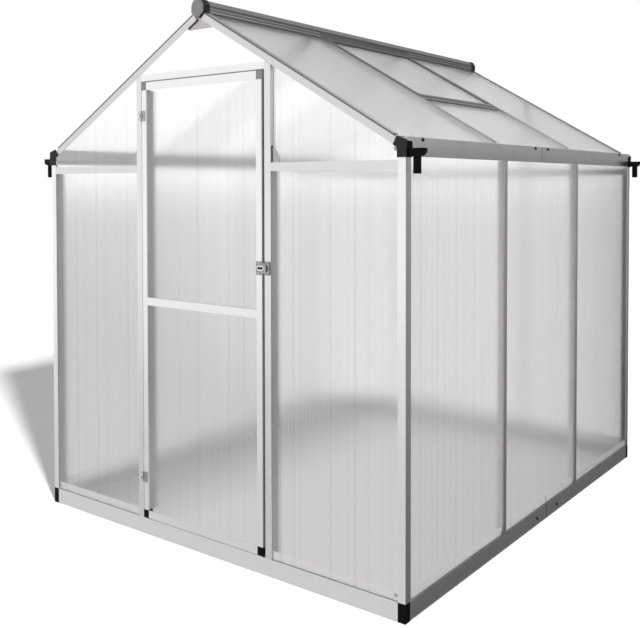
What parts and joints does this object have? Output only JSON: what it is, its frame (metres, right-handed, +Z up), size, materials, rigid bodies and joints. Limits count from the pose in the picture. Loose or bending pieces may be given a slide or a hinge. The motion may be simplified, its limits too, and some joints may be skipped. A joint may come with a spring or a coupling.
{
  "type": "polycarbonate greenhouse",
  "caption": "Walk-in gable greenhouse with aluminium glazing bars, translucent twin-wall sheets, a hinged door, a roof vent and gutters with downspouts.",
  "frame": {"origin": "on the ground under the middle of the house", "axes": "+Z up, +Y along the ridge from the door gable to the back gable, +X towards the vented roof slope"},
  "size_m": [1.876, 2.113, 2.0182],
  "materials": {
    "mill_aluminium": "mill-finish extrusion, satin",
    "grey_aluminium": "dark grey coated extrusion, satin",
    "black_plastic": "moulded, semi-matt",
    "twin_wall_sheet": "translucent, fine ribs",
    "black_rubber": "matt",
    "zinc_plated_steel": "zinc plated"
  },
  "bodies": {
    "frame": {"base_front": "mill_aluminium", "base_back": "mill_aluminium", "base_left": "mill_aluminium", "base_right": "mill_aluminium", "base_joiners": "mill_aluminium", "corner_posts": "mill_aluminium", "left_wall_bars": "mill_aluminium", "right_wall_bars": "mill_aluminium", "front_posts": "mill_aluminium", "back_posts": "mill_aluminium", "front_eave_rails": "mill_aluminium", "back_eave_rails": "mill_aluminium", "door_header": "mill_aluminium", "left_gutter": "mill_aluminium", "right_gutter": "mill_aluminium", "gutter_joiners": "mill_aluminium", "front_rafters": "mill_aluminium", "back_rafters": "mill_aluminium", "left_roof_bars": "mill_aluminium", "right_roof_bars": "mill_aluminium", "vent_frame": "mill_aluminium", "ridge_beam": "grey_aluminium", "vent_sill_bar": "grey_aluminium", "base_corners": "black_plastic", "gutter_ends": "black_plastic", "ridge_ends": "black_plastic", "left_wall_sheets": "twin_wall_sheet", "right_wall_sheets": "twin_wall_sheet", "front_wall_sheets": "twin_wall_sheet", "back_wall_sheets": "twin_wall_sheet", "front_gable_sheets": "twin_wall_sheet", "back_gable_sheets": "twin_wall_sheet", "left_roof_sheets": "twin_wall_sheet", "right_roof_sheets": "twin_wall_sheet", "vent_sheet": "twin_wall_sheet", "post_hinge_leaves": "zinc_plated_steel", "latch_staple": "zinc_plated_steel"},
    "door": {"door_stiles": "mill_aluminium", "door_top_rail": "mill_aluminium", "door_middle_rail": "mill_aluminium", "door_bottom_rail": "mill_aluminium", "door_corners": "black_plastic", "door_sheets": "twin_wall_sheet", "door_seals": "black_rubber", "door_hinge_leaves": "zinc_plated_steel", "latch_hasp": "zinc_plated_steel"}
  },
  "joints": [
    {"name": "door_hinge", "type": "hinge", "parent": "frame", "child": "door", "pos_m": [-0.3075, -1.0513, 0.9185], "axis": [0, 0, -1], "range_deg": [0, 110]}
  ]
}
